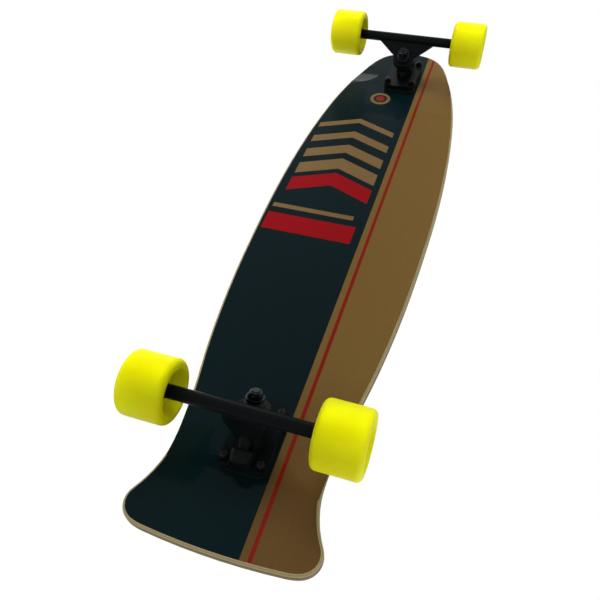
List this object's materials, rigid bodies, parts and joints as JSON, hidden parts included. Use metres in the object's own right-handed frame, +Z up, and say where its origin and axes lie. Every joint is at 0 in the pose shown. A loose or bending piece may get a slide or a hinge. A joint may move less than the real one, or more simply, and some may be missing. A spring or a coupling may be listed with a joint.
{
  "type": "longboard skateboard",
  "caption": "Longboard skateboard: flat flared-tail maple deck on sprung traditional-kingpin trucks that lean to steer, with wide urethane wheels on sealed bearings.",
  "frame": {"origin": "on the floor, midway along the deck's length and width", "axes": "+X to the nose, +Y to the rider's left, +Z up, with the wheels on the floor"},
  "size_m": [0.9499, 0.2528, 0.1199],
  "materials": {
    "printed_maple": "printed and lacquered maple plies, glossy underside",
    "grip_tape": "black silicon-carbide grip tape, coarse",
    "black_riser": "moulded black riser pad, matt",
    "black_truck": "die-cast aluminium, black powder coat, satin",
    "black_urethane": "moulded black urethane",
    "bushing_urethane": "cast black urethane, satin",
    "zinc_steel": "zinc-plated steel",
    "black_steel": "black-oxide steel",
    "yellow_urethane": "cast urethane, bright yellow, satin",
    "yellow_core": "moulded yellow core",
    "bearing_steel": "ground bearing steel with pressed shields"
  },
  "bodies": {
    "board": {"deck": "printed_maple", "grip_tape": "grip_tape", "front_riser_pad": "black_riser", "front_baseplate": "black_truck", "front_pivot_cup": "black_urethane", "front_kingpin": "zinc_steel", "front_kingpin_nut": "zinc_steel", "front_boardside_bushing": "bushing_urethane", "front_boardside_washer": "zinc_steel", "front_roadside_bushing": "bushing_urethane", "front_roadside_washer": "zinc_steel", "front_mounting_bolts": "black_steel", "front_mounting_locknuts": "black_steel", "rear_riser_pad": "black_riser", "rear_baseplate": "black_truck", "rear_pivot_cup": "black_urethane", "rear_kingpin": "zinc_steel", "rear_kingpin_nut": "zinc_steel", "rear_boardside_bushing": "bushing_urethane", "rear_boardside_washer": "zinc_steel", "rear_roadside_bushing": "bushing_urethane", "rear_roadside_washer": "zinc_steel", "rear_mounting_bolts": "black_steel", "rear_mounting_locknuts": "black_steel"},
    "front_truck_hanger": {"front_hanger": "black_truck", "front_axle": "zinc_steel", "front_left_bearing_inner_rings": "bearing_steel", "front_left_bearing_spacer": "zinc_steel", "front_left_speed_washers": "zinc_steel", "front_left_axle_nut": "zinc_steel", "front_right_bearing_inner_rings": "bearing_steel", "front_right_bearing_spacer": "zinc_steel", "front_right_speed_washers": "zinc_steel", "front_right_axle_nut": "zinc_steel"},
    "front_left_wheel": {"front_left_wheel_tyre": "yellow_urethane", "front_left_wheel_core": "yellow_core", "front_left_bearing_shells": "bearing_steel"},
    "front_right_wheel": {"front_right_wheel_tyre": "yellow_urethane", "front_right_wheel_core": "yellow_core", "front_right_bearing_shells": "bearing_steel"},
    "rear_truck_hanger": {"rear_hanger": "black_truck", "rear_axle": "zinc_steel", "rear_left_bearing_inner_rings": "bearing_steel", "rear_left_bearing_spacer": "zinc_steel", "rear_left_speed_washers": "zinc_steel", "rear_left_axle_nut": "zinc_steel", "rear_right_bearing_inner_rings": "bearing_steel", "rear_right_bearing_spacer": "zinc_steel", "rear_right_speed_washers": "zinc_steel", "rear_right_axle_nut": "zinc_steel"},
    "rear_left_wheel": {"rear_left_wheel_tyre": "yellow_urethane", "rear_left_wheel_core": "yellow_core", "rear_left_bearing_shells": "bearing_steel"},
    "rear_right_wheel": {"rear_right_wheel_tyre": "yellow_urethane", "rear_right_wheel_core": "yellow_core", "rear_right_bearing_shells": "bearing_steel"}
  },
  "joints": [
    {"name": "front_lean", "type": "hinge", "parent": "board", "child": "front_truck_hanger", "pos_m": [0.4122, 0, 0.0815], "axis": [0.8856, 0, 0.4644], "range_deg": [-18, 18], "stiffness_Nm_per_rad": 60, "deforming": ["front_boardside_bushing", "front_roadside_bushing"]},
    {"name": "front_left_spin", "type": "hinge", "parent": "front_truck_hanger", "child": "front_left_wheel", "pos_m": [0.3902, 0.1009, 0.035], "axis": [0, 1, 0], "continuous": true},
    {"name": "front_right_spin", "type": "hinge", "parent": "front_truck_hanger", "child": "front_right_wheel", "pos_m": [0.3902, -0.1009, 0.035], "axis": [0, 1, 0], "continuous": true},
    {"name": "rear_lean", "type": "hinge", "parent": "board", "child": "rear_truck_hanger", "pos_m": [-0.3792, 0, 0.0815], "axis": [-0.8856, 0, 0.4644], "range_deg": [-18, 18], "stiffness_Nm_per_rad": 60, "deforming": ["rear_boardside_bushing", "rear_roadside_bushing"]},
    {"name": "rear_left_spin", "type": "hinge", "parent": "rear_truck_hanger", "child": "rear_left_wheel", "pos_m": [-0.3572, 0.1009, 0.035], "axis": [0, 1, 0], "continuous": true},
    {"name": "rear_right_spin", "type": "hinge", "parent": "rear_truck_hanger", "child": "rear_right_wheel", "pos_m": [-0.3572, -0.1009, 0.035], "axis": [0, 1, 0], "continuous": true}
  ]
}
